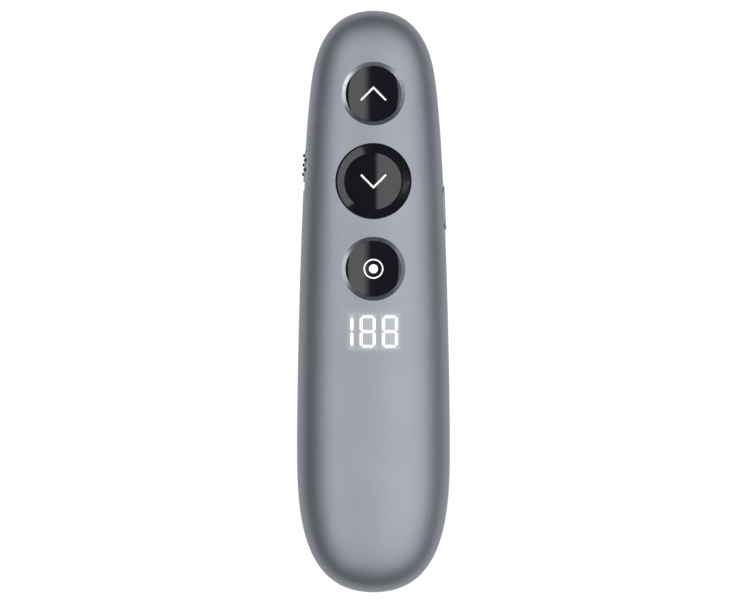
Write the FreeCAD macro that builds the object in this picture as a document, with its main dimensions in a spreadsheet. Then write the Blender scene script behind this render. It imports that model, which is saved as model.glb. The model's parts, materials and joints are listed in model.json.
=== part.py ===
import FreeCAD, Part
import math
import os
from types import SimpleNamespace

import Sketcher

# A hand-held presentation clicker lying on its flat underside.
# +Z is up, +Y points to the nose, and the origin is the middle of the footprint.

V = FreeCAD.Vector

# Driving dimensions, millimetres and degrees: word, value, meaning
SIZES = [
    ("body_length", 136.0, "casing from nose to tail"),
    ("body_width", 35.8, "casing at its widest"),
    ("top_rise", 8.95, "crown of the upper half above the seam"),
    ("base_depth", 10.0, "keel of the lower half below the seam, before the flat"),
    ("seam_height", 9.1, "seam above the table"),
    ("wall", 1.6, "casing wall"),
    ("nose_handle", 10.4, "half breadth of the nose curve's flat pull"),
    ("shoulder_half_width", 14.05, "half width at the shoulder"),
    ("shoulder_setback", 13.8, "shoulder behind the nose tip"),
    ("shoulder_lean", 10.8, "angle of the flank at the shoulder"),
    ("shoulder_fore", 4.85, "pull of the curve ahead of the shoulder"),
    ("shoulder_aft", 15.2, "pull of the curve behind the shoulder"),
    ("widest_setback", 34.6, "widest place ahead of the tail tip"),
    ("widest_fore", 12.6, "pull of the curve ahead of the widest place"),
    ("widest_aft", 14.3, "pull of the curve behind the widest place"),
    ("tail_handle", 17.6, "half breadth of the tail curve's flat pull"),
    ("tongue_height", 1.0, "tongue of the lower half above the seam"),
    ("tongue_width", 0.75, "tongue thickness"),
    ("tongue_gap", 0.05, "clearance round the tongue"),
    ("previous_setback", 19.7, "previous button behind the nose tip"),
    ("button_pitch", 20.35, "from one button to the next along the casing"),
    ("small_radius", 6.43, "small cap"),
    ("small_gap", 0.07, "clearance round a small cap"),
    ("bevel_width", 0.92, "bevel round a small cap, along the casing"),
    ("bevel_depth", 0.7, "bevel round a small cap, down the hole"),
    ("dish_radius", 45.0, "hollow of a small cap"),
    ("dish_depth", 0.9, "hollow of a small cap below its rim"),
    ("large_radius", 8.74, "large cap"),
    ("large_gap", 0.12, "clearance round the large cap"),
    ("large_recess", 0.06, "rim of the large cap below the casing"),
    ("dome_radius", 6.5, "crowned middle of the large cap"),
    ("dome_recess", 0.25, "crowned middle below the casing"),
    ("dome_crown", 26.0, "ball radius of the crowned middle"),
    ("groove_width", 0.12, "crease round the crowned middle"),
    ("groove_depth", 2.1, "crease below the rim"),
    ("ring_width", 1.85, "sloping ring of the large cap, along the casing"),
    ("ring_depth", 0.95, "sloping ring of the large cap, down"),
    ("cap_flange", 0.9, "flange that holds a cap in the casing"),
    ("flange_gap", 0.05, "flange below the casing wall"),
    ("stem_radius", 1.6, "stem under a cap"),
    ("stem_length", 0.6, "stem under a cap's flange"),
    ("press_travel", 0.5, "stroke of a cap"),
    ("board_bottom", 7.4, "underside of the circuit board above the table"),
    ("board_thickness", 1.0, "circuit board"),
    ("board_margin", 1.6, "circuit board edge to the inner wall"),
    ("notch_gap", 0.2, "clearance of the board round the side key"),
    ("board_clearance", 0.38, "front edge of the circuit board behind the laser barrel"),
    ("tact_side", 6.0, "press switch housing, square"),
    ("tact_height", 3.4, "press switch housing"),
    ("plunger_radius", 1.75, "press switch plunger"),
    ("plunger_rise", 0.8, "plunger above its housing"),
    ("plunger_depth", 0.9, "plunger inside its housing"),
    ("plunger_gap", 0.05, "clearance round a plunger"),
    ("rest_gap", 0.02, "gap between faces that rest on each other"),
    ("display_setback", 14.57, "middle of the digits behind the pointer button"),
    ("last_digit_x", 3.83, "middle of the right-hand digit"),
    ("digit_pitch", 5.17, "from one digit to the next"),
    ("digit_width", 3.8, "digit"),
    ("digit_height", 7.7, "digit"),
    ("stroke", 0.8, "breadth of a segment"),
    ("tip_gap", 0.14, "segment tip to the corner it points at"),
    ("guide_gap", 0.02, "clearance round a segment"),
    ("guide_length", 14.4, "light guide plate across"),
    ("guide_width", 10.0, "light guide plate along"),
    ("guide_root", 0.2, "foot of the segments above the plate's underside"),
    ("guide_base", 15.15, "underside of the light guide above the table"),
    ("module_corner", 0.6, "corner of the display block"),
    ("slider_setback", 36.4, "slide switch knob behind the nose tip"),
    ("slider_length", 7.25, "slide switch knob"),
    ("slider_above", 2.4, "knob above the seam"),
    ("slider_below", 3.9, "knob below the seam"),
    ("slider_proud", 0.12, "knob out of the casing"),
    ("slider_travel", 2.0, "stroke of the slide switch"),
    ("slider_gap", 0.08, "clearance round the knob and its stem"),
    ("pad_seat", 0.2, "recess in the casing in which the knob runs"),
    ("pad_gap", 0.03, "knob above the floor of that recess"),
    ("slot_cover", 0.38, "knob beyond its stem's slot, at either limit"),
    ("slot_lap", 0.8, "knob beyond its stem, above and below"),
    ("wing_over", 3.2, "wing beyond the stem, each end"),
    ("wing_lap", 0.8, "wing beyond the stem, above and below"),
    ("wing_thickness", 0.9, "wing"),
    ("pocket_skin", 0.6, "casing wall left between the knob and its wing"),
    ("wing_gap", 0.05, "wing below that wall"),
    ("pip_radius", 0.42, "grip pip"),
    ("pip_pitch", 2.2, "grip pips along the knob"),
    ("pip_offset", -0.3, "middle of the pips towards the nose"),
    ("pip_row", 1.55, "rows of pips, one above the other"),
    ("fork_height", 1.9, "fork of the knob"),
    ("fork_width", 3.4, "fork of the knob"),
    ("lever_width", 1.3, "slide switch lever"),
    ("lever_height", 1.0, "slide switch lever"),
    ("lever_length", 1.9, "slide switch lever"),
    ("lever_depth", 0.55, "slide switch lever inside its housing"),
    ("toggle_inset", 3.5, "slide switch housing to the outside of the casing"),
    ("toggle_length", 8.6, "slide switch housing"),
    ("toggle_width", 3.5, "slide switch housing"),
    ("toggle_height", 2.2, "slide switch housing"),
    ("key_setback", 46.1, "side key behind the nose tip"),
    ("key_length", 10.2, "side key"),
    ("key_height", 4.2, "side key"),
    ("key_lift", -0.5, "middle of the side key above the seam"),
    ("key_proud", 0.25, "side key out of the casing"),
    ("key_gap", 0.08, "clearance round the side key"),
    ("key_flange", 0.8, "flange of the side key"),
    ("key_back", 3.3, "back of the side key's flange to the outside of the casing"),
    ("key_travel", 0.35, "stroke of the side key"),
    ("edge_switch_inset", 5.0, "side switch housing to the outside of the casing"),
    ("edge_switch_length", 7.0, "side switch housing"),
    ("edge_switch_depth", 3.2, "side switch housing"),
    ("edge_switch_height", 3.4, "side switch housing"),
    ("edge_plunger_radius", 1.2, "side switch plunger"),
    ("edge_plunger_rise", 0.8, "side switch plunger out of its housing"),
    ("edge_plunger_depth", 0.8, "side switch plunger inside its housing"),
    ("front_screw_x", 10.5, "front screws to the middle"),
    ("front_screw_setback", 27.8, "front screws behind the nose tip"),
    ("rear_screw_setback", 18.0, "rear screw ahead of the tail tip"),
    ("screw_seat", 5.2, "screw head seat above the table"),
    ("head_radius", 1.7, "screw head"),
    ("head_height", 1.2, "screw head"),
    ("head_gap", 0.15, "clearance round a screw head"),
    ("socket_radius", 0.85, "hexagon socket of a screw"),
    ("socket_depth", 0.7, "hexagon socket of a screw"),
    ("shank_radius", 0.9, "screw shank"),
    ("shank_length", 7.4, "screw shank"),
    ("shank_gap", 0.2, "clearance round a shank in the lower half and the board"),
    ("thread_gap", 0.03, "clearance round a shank in the upper half"),
    ("post_radius", 2.5, "screw post"),
    ("cell_length", 42.0, "battery cell along"),
    ("cell_width", 15.4, "battery cell across"),
    ("cell_thickness", 4.5, "battery cell"),
    ("cell_corner", 1.0, "battery cell corner"),
    ("cell_clearance", 6.5, "battery cell ahead of the rear post"),
    ("foam_thickness", 0.5, "foam under the cell"),
    ("foam_margin", 2.4, "foam edge inside the cell's"),
    ("shield_length", 13.0, "radio shield along"),
    ("shield_width", 12.0, "radio shield across"),
    ("shield_height", 1.7, "radio shield"),
    ("shield_sheet", 0.2, "radio shield sheet"),
    ("shield_clearance", 1.0, "radio shield behind the display block"),
    ("chip_side", 5.0, "charge controller, square"),
    ("chip_height", 0.85, "charge controller"),
    ("chip_clearance", 1.0, "charge controller ahead of the rear post"),
    ("laser_drop", 2.4, "laser axis below the seam"),
    ("laser_radius", 2.5, "laser barrel"),
    ("laser_length", 9.4, "laser barrel"),
    ("laser_back", 6.4, "front of the laser barrel behind the nose tip"),
    ("beam_radius", 1.2, "laser barrel bore"),
    ("lens_radius", 2.0, "laser window"),
    ("lens_thickness", 1.6, "laser window"),
    ("lens_recess", 0.15, "laser window inside the nose"),
    ("lens_gap", 0.04, "clearance round the laser window"),
    ("boss_radius", 3.1, "boss round the laser window"),
    ("port_width", 8.94, "charging socket across"),
    ("port_height", 3.26, "charging socket"),
    ("port_depth", 7.4, "charging socket along"),
    ("port_sheet", 0.3, "charging socket sheet"),
    ("port_back", 1.0, "back wall of the charging socket"),
    ("port_recess", 0.5, "charging socket inside the tail"),
    ("port_gap", 0.12, "clearance round the charging socket"),
    ("port_tongue_width", 6.7, "contact tongue of the charging socket"),
    ("port_tongue_height", 0.7, "contact tongue of the charging socket"),
    ("port_tongue_back", 0.8, "contact tongue behind the socket's mouth"),
]

# Places worked out in the same sheet
PLACES = [
    ("previous_y", "body_length / 2 - previous_setback", "previous button along the casing"),
    ("next_y", "previous_y - button_pitch", "next button along the casing"),
    ("pointer_y", "next_y - button_pitch", "pointer button along the casing"),
    ("display_y", "pointer_y - display_setback", "middle of the digits along the casing"),
    ("slider_y", "body_length / 2 - slider_setback", "slide switch knob along the casing"),
    ("key_y", "body_length / 2 - key_setback", "side key along the casing"),
    ("laser_front", "body_length / 2 - laser_back - rest_gap", "front of the laser barrel"),
    ("board_front", "laser_front - laser_length - board_clearance", "front of the circuit board"),
    ("front_screw_y", "body_length / 2 - front_screw_setback", "front screws along the casing"),
    ("rear_screw_y", "rear_screw_setback - body_length / 2", "rear screw along the casing"),
    ("cell_y", "rear_screw_y + post_radius + cell_clearance + cell_length / 2",
     "battery cell along the casing"),
    ("shield_y", "display_y - guide_width / 2 - shield_clearance - shield_length / 2",
     "radio shield along the casing"),
    ("chip_y", "rear_screw_y + post_radius + chip_clearance + chip_side / 2",
     "charge controller along the casing"),
    ("stem_half", "slider_length / 2 - slider_travel - slot_cover", "half of the knob's stem"),
]

REACH = 200.0  # longer than the casing, for cutting planes
SPARE = 5.0  # how far a cutting tool stands out beyond what it cuts
NEAR = 0.1  # how near a rim's middle lies to its hole's
ALIKE = 0.05  # how near a rim's breadth lies to its hole's
RIM_FALL = 0.5  # how far a rim falls round the crowned casing
FLAT = 0.01  # an edge with less spread stands upright

doc = FreeCAD.newDocument("presentation_clicker")
sheet = doc.addObject("Spreadsheet::Sheet", "Sizes")
for row, (word, number, meaning) in enumerate(SIZES, start=1):
    sheet.set(f"A{row}", meaning)
    sheet.set(f"B{row}", str(number))
    sheet.setAlias(f"B{row}", word)
for row, (word, formula, meaning) in enumerate(PLACES, start=len(SIZES) + 1):
    sheet.set(f"A{row}", meaning)
    sheet.set(f"B{row}", f"={formula}")
    sheet.setAlias(f"B{row}", word)
    doc.recompute()
d = SimpleNamespace(**{entry[0]: float(sheet.get(entry[0])) for entry in SIZES + PLACES})

BOARD_TOP = "(Sizes.board_bottom + Sizes.board_thickness)"
board_top = d.board_bottom + d.board_thickness
plunger_top = board_top + d.tact_height + d.plunger_rise
skirt_z = plunger_top + d.rest_gap + d.stem_length
half_length = d.body_length / 2
half_width = d.body_width / 2
top_ratio = d.top_rise / half_width
base_ratio = d.base_depth / half_width
forms = {}


# Outline in plan

def outline_poles(inset):
    """Control points of the right-hand outline from nose to tail, each leg moved inwards."""
    lean = math.radians(d.shoulder_lean)
    run_x, run_y = math.sin(lean), -math.cos(lean)
    shoulder_y = half_length - d.shoulder_setback
    widest_y = -half_length + d.widest_setback
    corners = [
        (0.0, half_length),
        (d.nose_handle, half_length),
        (d.shoulder_half_width - run_x * d.shoulder_fore, shoulder_y - run_y * d.shoulder_fore),
        (d.shoulder_half_width + run_x * d.shoulder_aft, shoulder_y + run_y * d.shoulder_aft),
        (half_width, widest_y + d.widest_fore),
        (half_width, widest_y - d.widest_aft),
        (d.tail_handle, -half_length),
        (0.0, -half_length),
    ]
    legs = []
    for (ax, ay), (bx, by) in zip(corners[:-1], corners[1:]):
        reach = math.hypot(bx - ax, by - ay)
        ux, uy = (bx - ax) / reach, (by - ay) / reach
        legs.append((ax + uy * inset, ay - ux * inset, ux, uy))
    poles = [V(0, half_length - inset, 0)]
    for (ax, ay, ux, uy), (bx, by, vx, vy) in zip(legs[:-1], legs[1:]):
        along = ((bx - ax) * vy - (by - ay) * vx) / (ux * vy - uy * vx)
        poles.append(V(ax + ux * along, ay + uy * along, 0))
    poles.append(V(0, -half_length + inset, 0))
    return poles


def outline_curve(inset, side=1):
    """Three cubic spans, nose, flank and tail, with an even run from one to the next."""
    nose_span = d.shoulder_fore
    flank_span = d.shoulder_aft
    tail_span = flank_span * d.widest_aft / d.widest_fore
    knots = [0.0, nose_span, nose_span + flank_span, nose_span + flank_span + tail_span]
    poles = [V(side * pole.x, pole.y, 0) for pole in outline_poles(inset)]
    curve = Part.BSplineCurve()
    curve.buildFromPolesMultsKnots(poles, [4, 2, 2, 4], knots, False, 3)
    return curve


def flank_at(y):
    """Point and unit run of the right-hand outline at the given y."""
    curve = outline_curve(0)
    low, high = curve.FirstParameter, curve.LastParameter
    for step in range(50):
        middle = (low + high) / 2
        if curve.value(middle).y > y:
            low = middle
        else:
            high = middle
    point, run = curve.getD1(middle)
    return point, run.normalize()


def tip_y(height, sign):
    """Y of the casing's end surface on the middle plane, nose for sign 1 and tail for -1."""
    drop = d.seam_height - height
    wanted = drop / base_ratio
    low, high = sign * (half_length - d.shoulder_setback), sign * half_length
    for step in range(50):
        middle = (low + high) / 2
        if flank_at(middle)[0].x > wanted:
            low = middle
        else:
            high = middle
    return middle


# Solids that follow the casing

def half_form(inset, upper):
    """The outline spun half round the long axis and flattened to an elliptical section."""
    key = (inset, upper)
    if key not in forms:
        curve = outline_curve(inset)
        ends = curve.value(curve.LastParameter), curve.value(curve.FirstParameter)
        face = Part.Face(Part.Wire([curve.toShape(), Part.makeLine(*ends)]))
        solid = face.revolve(V(0, 0, 0), V(0, 1, 0), -180 if upper else 180)
        flatten = FreeCAD.Matrix()
        height = d.top_rise if upper else d.base_depth
        flatten.A33 = (height - inset) / (half_width - inset)
        solid = solid.transformGeometry(flatten)
        if solid.Volume < 0:
            solid.reverse()
        solid.translate(V(0, 0, d.seam_height))
        forms[key] = solid
    return forms[key]


def upper_form(inset):
    return half_form(inset, True)


def lower_form(inset):
    return half_form(inset, False)


def follow(shape, inset):
    """The part of a shape that lies inside the casing form, both halves in one piece."""
    pieces = [shape.common(upper_form(inset)), shape.common(lower_form(inset))]
    return pieces[0].fuse(pieces[1]).removeSplitter()


def outline_prism(inset, low, high):
    """The plan outline as an upright prism."""
    edges = [outline_curve(inset, side).toShape() for side in (1, -1)]
    face = Part.Face(Part.Wire(Part.__sortEdges__(edges)))
    face.translate(V(0, 0, low))
    return face.extrude(V(0, 0, high - low))


def under(height):
    """Everything below a height."""
    return Part.makeBox(REACH, REACH, REACH, V(-REACH / 2, -REACH / 2, height - REACH))


def single(shape):
    """The only solid of a shape."""
    if len(shape.Solids) != 1:
        raise ValueError(f"{len(shape.Solids)} solids instead of one")
    return shape.Solids[0]


def upright(radius, x, y, low, high):
    return Part.makeCylinder(radius, high - low, V(x, y, low))


def keep(label, shape):
    """A sub-part whose shape comes from the functions above."""
    piece = doc.addObject("Part::Feature", label)
    piece.Label = label
    place = shape.Placement
    piece.Shape = shape
    piece.Placement = place
    return piece


# Bound primitives

def bind(thing, label, sizes, place):
    thing.Label = label
    for name, formula in sizes.items():
        thing.setExpression(name, formula)
    for axis, formula in zip("xyz", place):
        thing.setExpression(f"Placement.Base.{axis}", formula)
    return thing


def box(label, length, width, height, place):
    sizes = {"Length": length, "Width": width, "Height": height}
    return bind(doc.addObject("Part::Box", label), label, sizes, place)


def cylinder(label, radius, height, place, along_y=False):
    thing = doc.addObject("Part::Cylinder", label)
    if along_y:
        thing.Placement = FreeCAD.Placement(V(0, 0, 0), FreeCAD.Rotation(V(1, 0, 0), -90))
    return bind(thing, label, {"Radius": radius, "Height": height}, place)


def cut(label, base, tool):
    thing = doc.addObject("Part::Cut", label)
    thing.Label = label
    thing.Base = base
    thing.Tool = tool
    return thing


def fuse(label, base, tool):
    thing = doc.addObject("Part::Fuse", label)
    thing.Label = label
    thing.Base = base
    thing.Tool = tool
    return thing


def padded_block(label, length, width, height, corner, place):
    """A body padded from a centred rectangle, with its upright edges rounded."""
    body = doc.addObject("PartDesign::Body", label)
    body.Label = label
    sketch = body.newObject("Sketcher::SketchObject", label + "_outline")
    plane = [item for item in body.Origin.OriginFeatures if item.Role == "XY_Plane"][0]
    sketch.AttachmentSupport = (plane, [""])
    sketch.MapMode = "FlatFace"
    corners = [V(-1, -1, 0), V(1, -1, 0), V(1, 1, 0), V(-1, 1, 0)]
    for index in range(4):
        sketch.addGeometry(Part.LineSegment(corners[index], corners[(index + 1) % 4]), False)
    for index in range(4):
        sketch.addConstraint(Sketcher.Constraint("Coincident", index, 2, (index + 1) % 4, 1))
    for index, kind in enumerate(("Horizontal", "Vertical", "Horizontal", "Vertical")):
        sketch.addConstraint(Sketcher.Constraint(kind, index))
    sketch.addConstraint(Sketcher.Constraint("Symmetric", 0, 1, 2, 1, -1, 1))
    across = sketch.addConstraint(Sketcher.Constraint("DistanceX", 0, 1, 0, 2, 2.0))
    sketch.setExpression(f"Constraints[{across}]", length)
    along = sketch.addConstraint(Sketcher.Constraint("DistanceY", 1, 1, 1, 2, 2.0))
    sketch.setExpression(f"Constraints[{along}]", width)
    pad = body.newObject("PartDesign::Pad", label + "_pad")
    pad.Profile = sketch
    pad.setExpression("Length", height)
    doc.recompute()
    upright_edges = []
    for index, edge in enumerate(pad.Shape.Edges, start=1):
        if edge.BoundBox.XLength < FLAT and edge.BoundBox.YLength < FLAT:
            upright_edges.append(f"Edge{index}")
    rounding = body.newObject("PartDesign::Fillet", label + "_corners")
    rounding.Base = (pad, upright_edges)
    rounding.setExpression("Radius", corner)
    bind(body, label, {}, place)
    return body


# Digits

def segment_prism(x, y, length, stroke, tall, low, high):
    """A segment with pointed ends as an upright prism."""
    reach, half = length / 2, stroke / 2
    points = [(-reach, 0), (half - reach, half), (reach - half, half),
              (reach, 0), (reach - half, -half), (half - reach, -half)]
    if tall:
        points = [(-b, a) for a, b in points]
    loop = [V(x + a, y + b, low) for a, b in points]
    return Part.Face(Part.makePolygon(loop + loop[:1])).extrude(V(0, 0, high - low))


def segments(gap, low, high):
    """The sixteen segments of 188, each smaller all round by a gap."""
    side = (d.digit_width - d.stroke) / 2
    rise = (d.digit_height - d.stroke) / 2
    stroke = d.stroke - 2 * gap
    wide = 2 * (side - d.tip_gap - gap)
    tall = rise - 2 * (d.tip_gap + gap)
    solids = []
    for place in range(3):
        x = d.last_digit_x - place * d.digit_pitch
        sides = (-1, 1) if place < 2 else (1,)
        for across in sides:
            for up in (-1, 1):
                y = d.display_y + up * rise / 2
                solids.append(segment_prism(x + across * side, y, tall, stroke, True, low, high))
        if place < 2:
            for up in (-1, 0, 1):
                y = d.display_y + up * rise
                solids.append(segment_prism(x, y, wide, stroke, False, low, high))
    return solids


# Tools set square to the flank

def side_frame(y, side):
    """Frame on the seam: x out of the casing, y along the flank, z up."""
    point, run = flank_at(y)
    turn = math.degrees(math.atan2(run.x, -side * run.y))
    origin = V(side * point.x, point.y, d.seam_height)
    return FreeCAD.Placement(origin, FreeCAD.Rotation(V(0, 0, 1), turn))


def side_box(frame, x_span, y_span, z_span):
    (x0, x1), (y0, y1), (z0, z1) = x_span, y_span, z_span
    block = Part.makeBox(x1 - x0, y1 - y0, z1 - z0, V(x0, y0, z0))
    block.Placement = frame
    return block


def side_stadium(frame, length, height, x_span, lift):
    """A bar with half-round ends, pointing out of the casing."""
    x0, x1 = x_span
    radius = height / 2
    reach = length / 2 - radius
    corner = [V(x0, -reach, lift - radius), V(x0, reach, lift - radius),
              V(x0, reach, lift + radius), V(x0, -reach, lift + radius)]
    right = Part.Arc(corner[1], V(x0, reach + radius, lift), corner[2]).toShape()
    left = Part.Arc(corner[3], V(x0, -reach - radius, lift), corner[0]).toShape()
    lines = [Part.makeLine(corner[0], corner[1]), Part.makeLine(corner[2], corner[3])]
    bar = Part.Face(Part.Wire([lines[0], right, lines[1], left])).extrude(V(x1 - x0, 0, 0))
    bar.Placement = frame
    return bar


def flank_fall(y, lift):
    """How far the casing surface lies inside the seam's outline at a height above the seam."""
    width = flank_at(y)[0].x
    ratio = top_ratio if lift > 0 else base_ratio
    return width * (1 - math.sqrt(1 - (lift / (ratio * width)) ** 2))


slider_frame = side_frame(d.slider_y, -1)
key_frame = side_frame(d.key_y, 1)
port_z = d.board_bottom - d.port_height / 2
port_frame = FreeCAD.Placement(V(0, tip_y(port_z, -1), port_z), FreeCAD.Rotation(V(0, 0, 1), -90))
laser_z = d.seam_height - d.laser_drop
screw_places = [(-d.front_screw_x, d.front_screw_y), (d.front_screw_x, d.front_screw_y),
                (0.0, d.rear_screw_y)]


def forms_below(inset):
    """Both halves of the casing's form, drawn in."""
    return [upper_form(inset), lower_form(inset)]


def slider_block(half, lap, gap=None):
    """Block on the slide switch's place: half its length, its lap over the knob above and below,
    and, for an opening, its clearance, which also gives it room for the stroke."""
    room = gap or 0.0
    stroke = d.slider_travel if gap else 0.0
    return side_box(slider_frame, (d.wing_gap - d.toggle_inset - room, SPARE),
                    (-half - room, half + stroke + room),
                    (-d.slider_below - lap - room, d.slider_above + lap + room))


def side_openings():
    """What both halves of the casing lose for the slide switch and the side key."""
    gap = d.slider_gap
    seat = slider_block(d.slider_length / 2, 0, gap).cut(forms_below(d.pad_seat))
    slot = slider_block(d.stem_half, -d.slot_lap, gap)
    pocket = slider_block(d.stem_half + d.wing_over, d.wing_lap - d.slot_lap, gap)
    pocket = follow(pocket, d.pad_seat + d.pocket_skin)
    hole = side_stadium(key_frame, d.key_length + 2 * d.key_gap, d.key_height + 2 * d.key_gap,
                        (-d.key_back, SPARE), d.key_lift)
    return [seat, slot, pocket, hole]


def rim_edges(shape, y, radius):
    """Edges of a round hole at its outer mouth."""
    rims = []
    for edge in shape.Edges:
        around = edge.BoundBox
        if abs(around.Center.y - y) < NEAR and abs(around.XLength - 2 * radius) < ALIKE:
            rims.append(edge)
    top = max(edge.BoundBox.ZMax for edge in rims)
    return [edge for edge in rims if edge.BoundBox.ZMax > top - RIM_FALL]


# Casing

def make_upper_shell():
    shell = upper_form(0).cut(upper_form(d.wall))
    small = d.small_radius + d.small_gap
    holes = [upright(small, 0, d.previous_y, d.seam_height, REACH),
             upright(small, 0, d.pointer_y, d.seam_height, REACH),
             upright(d.large_radius + d.large_gap, 0, d.next_y, d.seam_height, REACH)]
    shell = shell.cut(holes)
    for y in (d.previous_y, d.pointer_y):
        shell = shell.makeChamfer(d.bevel_width, d.bevel_depth, rim_edges(shell, y, small))
    posts = []
    for x, y in screw_places:
        post = upright(d.post_radius, x, y, board_top, REACH)
        posts.append(post.common(upper_form(d.wall / 2)))
    shell = shell.fuse(posts)
    rebate = outline_prism(d.wall - d.tongue_width - d.tongue_gap, d.seam_height - SPARE,
                           d.seam_height + d.tongue_height + d.tongue_gap)
    rebate = rebate.cut([upright(d.post_radius + d.tongue_gap, x, y, 0, REACH)
                         for x, y in screw_places])
    thread = [upright(d.shank_radius + d.thread_gap, x, y, 0,
                      d.screw_seat + d.shank_length + d.shank_gap) for x, y in screw_places]
    windows = segments(0, d.guide_base, REACH)
    shell = shell.cut([rebate] + thread + windows + side_openings())
    return [keep("upper_shell", single(shell))]


def make_lower_shell():
    outside = lower_form(0).cut(under(0))
    cavity = lower_form(d.wall).cut(under(d.wall))
    shell = outside.cut(cavity)
    top = d.seam_height + d.tongue_height
    root = d.seam_height - d.tongue_width
    tongue = outline_prism(d.wall - d.tongue_width, root, top)
    tongue = tongue.cut(outline_prism(d.wall, root - SPARE, top + SPARE))
    inner = lower_form(d.wall / 2).cut(under(d.wall / 2))
    posts = [upright(d.post_radius, x, y, 0, d.board_bottom).common(inner)
             for x, y in screw_places]
    nose = half_length - d.laser_back
    boss = Part.makeCylinder(d.boss_radius, REACH, V(0, nose, laser_z), V(0, 1, 0))
    boss = boss.common(inner)
    shell = shell.fuse([tongue, boss] + posts)
    cutters = [upright(d.head_radius + d.head_gap, x, y, -SPARE, d.screw_seat)
               for x, y in screw_places]
    cutters += [upright(d.shank_radius + d.shank_gap, x, y, -SPARE, REACH)
                for x, y in screw_places]
    bore = Part.makeCylinder(d.lens_radius + d.lens_gap, REACH, V(0, nose - SPARE, laser_z),
                             V(0, 1, 0))
    port = side_stadium(port_frame, d.port_width + 2 * d.port_gap,
                        d.port_height + 2 * d.port_gap, (-d.port_recess - d.port_depth, SPARE), 0)
    shell = shell.cut(cutters + [bore, port] + side_openings())
    return [keep("lower_shell", single(shell))]


# Buttons

def cap_core(y, radius, recess):
    """Cap under the casing's own curve, its flange below the wall, and its stem."""
    core = upright(radius, 0, y, skirt_z, REACH).common(upper_form(recess))
    flange = upright(radius + d.cap_flange, 0, y, skirt_z, REACH)
    flange = flange.common(upper_form(d.wall + d.flange_gap))
    stem = upright(d.stem_radius, 0, y, plunger_top + d.rest_gap, skirt_z + d.stem_length)
    return core, [flange, stem]


def crown_point(y, recess):
    """Point on the casing's ridge line, moved down, and the upward normal there."""
    height = d.seam_height + top_ratio * flank_at(y)[0].x - recess
    slope = top_ratio * (flank_at(y + 1)[0].x - flank_at(y - 1)[0].x) / 2
    return V(0, y, height), V(0, -slope, 1).normalize()


def small_cap(label, y):
    core, rest = cap_core(y, d.small_radius, d.bevel_depth)
    point, up = crown_point(y, d.bevel_depth)
    dish = Part.makeSphere(d.dish_radius, point + up * (d.dish_radius - d.dish_depth))
    return keep(label, single(core.fuse(rest).cut(dish).removeSplitter()))


def large_cap(label, y):
    core, rest = cap_core(y, d.large_radius, d.large_recess)
    point, up = crown_point(y, d.large_recess)
    well_radius = d.dome_radius + d.groove_width
    rim = core.cut(upright(well_radius, 0, y, point.z - d.groove_depth, REACH))
    rim = rim.makeChamfer(d.ring_width, d.ring_depth, rim_edges(rim, y, well_radius))
    dome = upright(d.dome_radius, 0, y, skirt_z, REACH).common(upper_form(d.dome_recess))
    ball_top = crown_point(y, d.dome_recess)[0]
    ball = Part.makeSphere(d.dome_crown, ball_top - up * d.dome_crown)
    return keep(label, single(rim.fuse([dome.common(ball)] + rest).removeSplitter()))


def make_caps():
    return [small_cap("previous_button", d.previous_y), large_cap("next_button", d.next_y),
            small_cap("pointer_button", d.pointer_y)]


def make_press_switches():
    nodes = []
    for name in ("previous", "next", "pointer"):
        along = f"Sizes.{name}_y"
        half = "Sizes.tact_side / 2"
        block = box(f"{name}_block", "Sizes.tact_side", "Sizes.tact_side", "Sizes.tact_height",
                    (f"-{half}", f"{along} - {half}", BOARD_TOP))
        well_floor = (f"{BOARD_TOP} + Sizes.tact_height - Sizes.plunger_depth"
                      " - Sizes.press_travel - Sizes.plunger_gap")
        well = cylinder(f"{name}_well", "Sizes.plunger_radius + Sizes.plunger_gap",
                        "Sizes.tact_height", ("0", along, well_floor))
        nodes.append(cut(f"{name}_switch", block, well))
        root = f"{BOARD_TOP} + Sizes.tact_height - Sizes.plunger_depth"
        nodes.append(cylinder(f"{name}_plunger", "Sizes.plunger_radius",
                              "Sizes.plunger_depth + Sizes.plunger_rise", ("0", along, root)))
    return nodes


# Slide switch on the left flank

def make_power_slider():
    pips = []
    for row, count in ((-2, 3), (-1, 2), (0, 3), (1, 2)):
        lift = row * d.pip_row
        for index in range(count):
            along = d.pip_offset + (index - (count - 1) / 2) * d.pip_pitch
            out = d.slider_proud - flank_fall(d.slider_y, lift)
            pip = Part.makeSphere(d.pip_radius, V(out, along, lift))
            pip.Placement = slider_frame
            pips.append(pip)
    pad = follow(slider_block(d.slider_length / 2, 0), -d.slider_proud)
    pad = pad.fuse(pips).cut(forms_below(d.pad_seat - d.pad_gap))
    stem = follow(slider_block(d.stem_half, -d.slot_lap), d.pad_seat / 2)
    wing_face = d.pad_seat + d.pocket_skin + d.wing_gap
    wing = slider_block(d.stem_half + d.wing_over, d.wing_lap - d.slot_lap)
    solid = stem.fuse(follow(wing, wing_face)).cut(forms_below(wing_face + d.wing_thickness))
    solid = solid.fuse(pad)
    middle = d.lever_height / 2
    fork = side_box(slider_frame, (d.wing_gap - d.toggle_inset, -wing_face - d.wing_thickness / 2),
                    (-d.fork_width / 2, d.fork_width / 2),
                    (middle - d.fork_height / 2, middle + d.fork_height / 2))
    notch = side_box(slider_frame, (-d.toggle_inset - SPARE, lever_tip() + d.rest_gap),
                     (-d.lever_width / 2 - d.rest_gap, d.lever_width / 2 + d.rest_gap),
                     (-d.rest_gap, d.lever_height + d.rest_gap))
    solid = solid.fuse(fork).cut(notch)
    return [keep("power_slider", single(solid.removeSplitter()))]


def lever_tip():
    """Outer end of the lever in the slide switch's frame."""
    return d.lever_length - d.toggle_inset - d.lever_depth


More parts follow.
